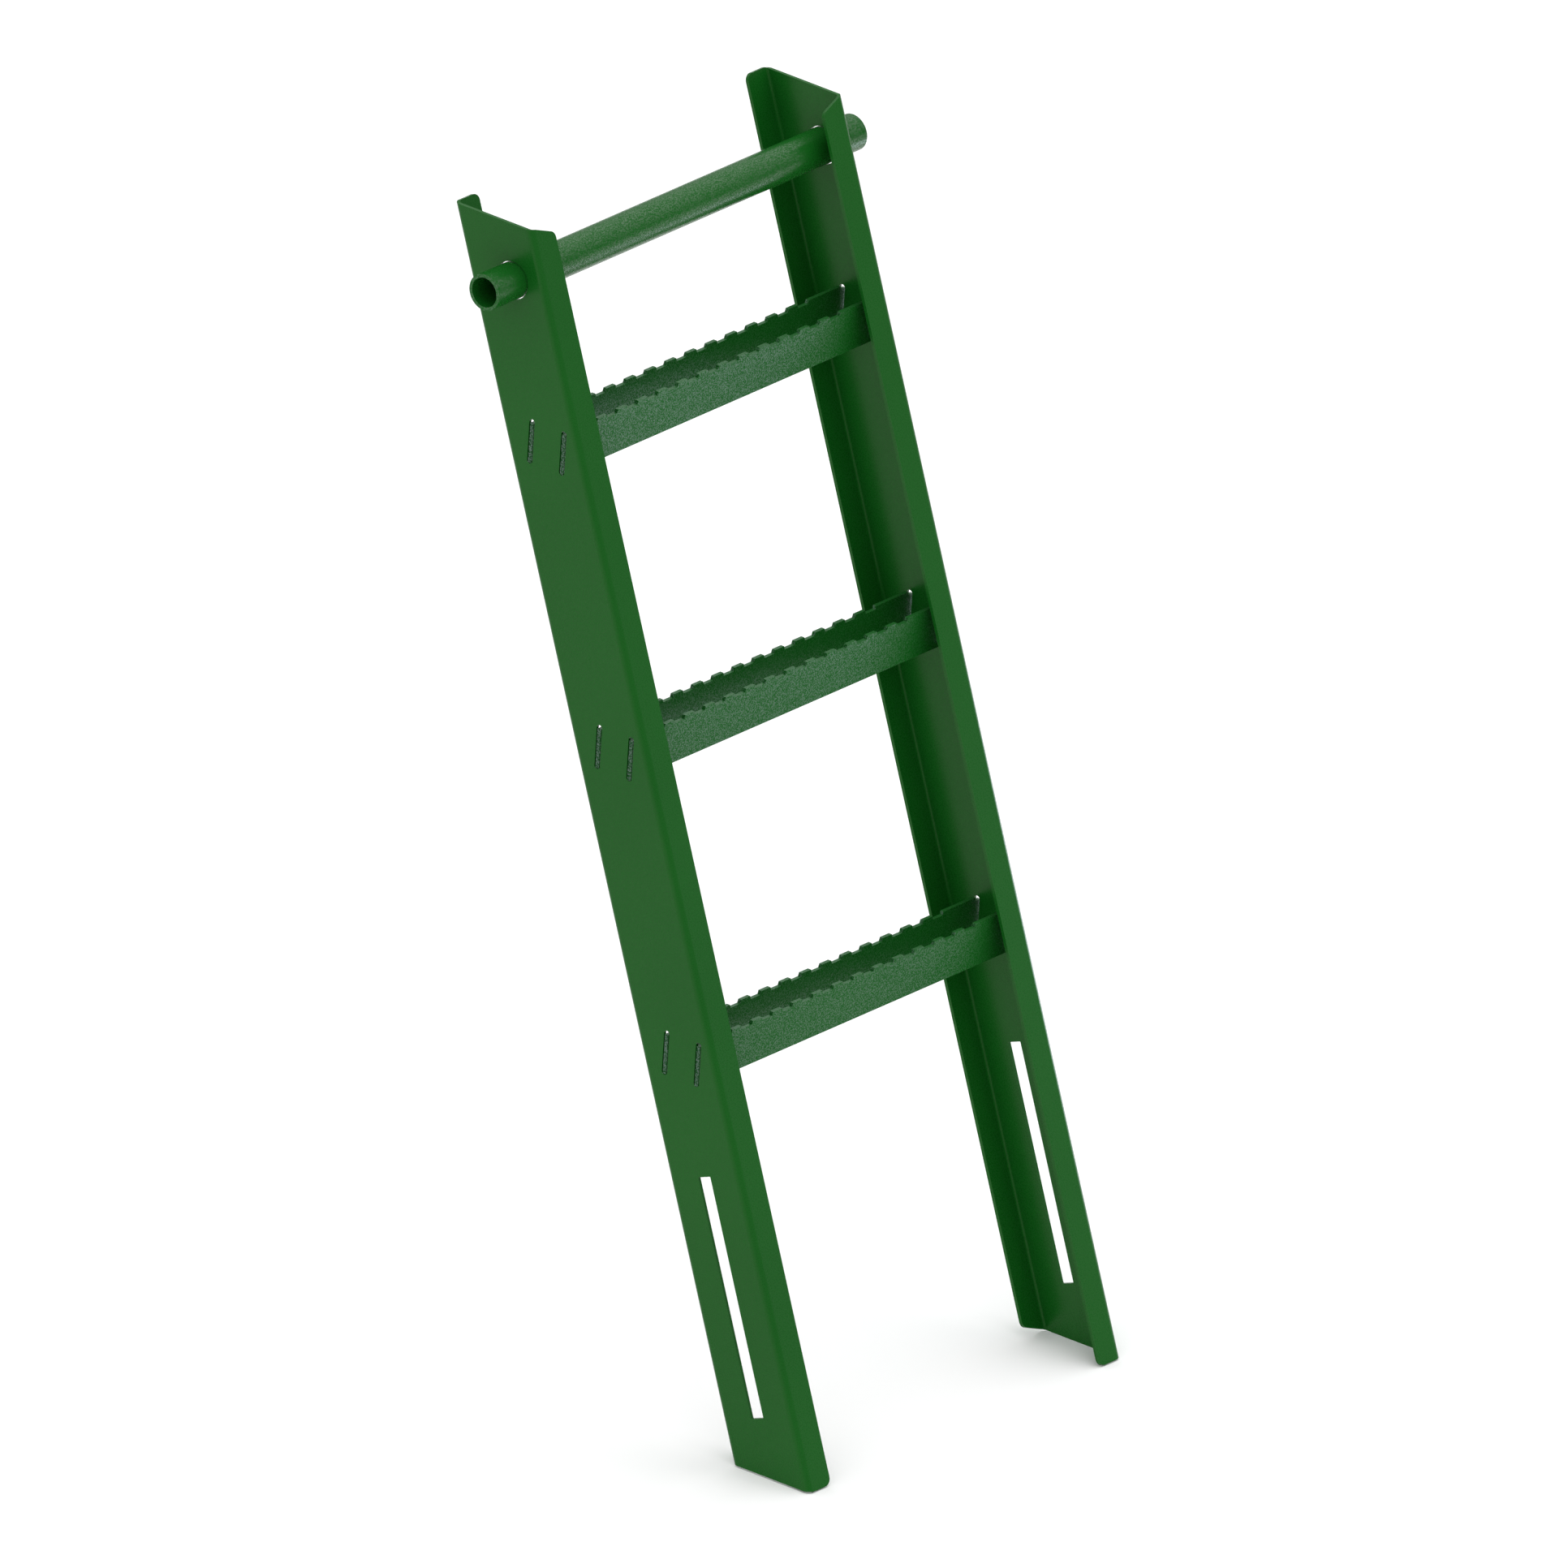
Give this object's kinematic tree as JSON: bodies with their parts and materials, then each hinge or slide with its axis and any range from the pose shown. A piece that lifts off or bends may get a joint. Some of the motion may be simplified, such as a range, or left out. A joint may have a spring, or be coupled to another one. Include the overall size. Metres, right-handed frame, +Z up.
{
  "type": "machine access ladder",
  "caption": "Leaning sheet-steel access ladder: channel rails with slotted feet, paired serrated tread bars and a hollow pivot tube across the top.",
  "frame": {"origin": "on the pivot tube's axis, midway between the two rails", "axes": "+X along the treads and the pivot tube, +Y away from the climber, +Z up with the treads level; the rails lean back towards +Y at their top"},
  "size_m": [0.568, 0.5398, 1.2151],
  "materials": {
    "rail_paint": "satin green paint",
    "tread_paint": "satin green paint",
    "tube_paint": "satin green paint"
  },
  "bodies": {
    "tube": {"pivot_tube": "tube_paint"},
    "ladder": {"left_rail": "rail_paint", "right_rail": "rail_paint", "top_rung_front_bar": "tread_paint", "top_rung_back_bar": "tread_paint", "middle_rung_front_bar": "tread_paint", "middle_rung_back_bar": "tread_paint", "bottom_rung_front_bar": "tread_paint", "bottom_rung_back_bar": "tread_paint"}
  },
  "joints": [
    {"name": "ladder_swing", "type": "hinge", "parent": "tube", "child": "ladder", "pos_m": [0, 0, 0], "axis": [-1, 0, 0], "range_deg": [0, 90]}
  ]
}
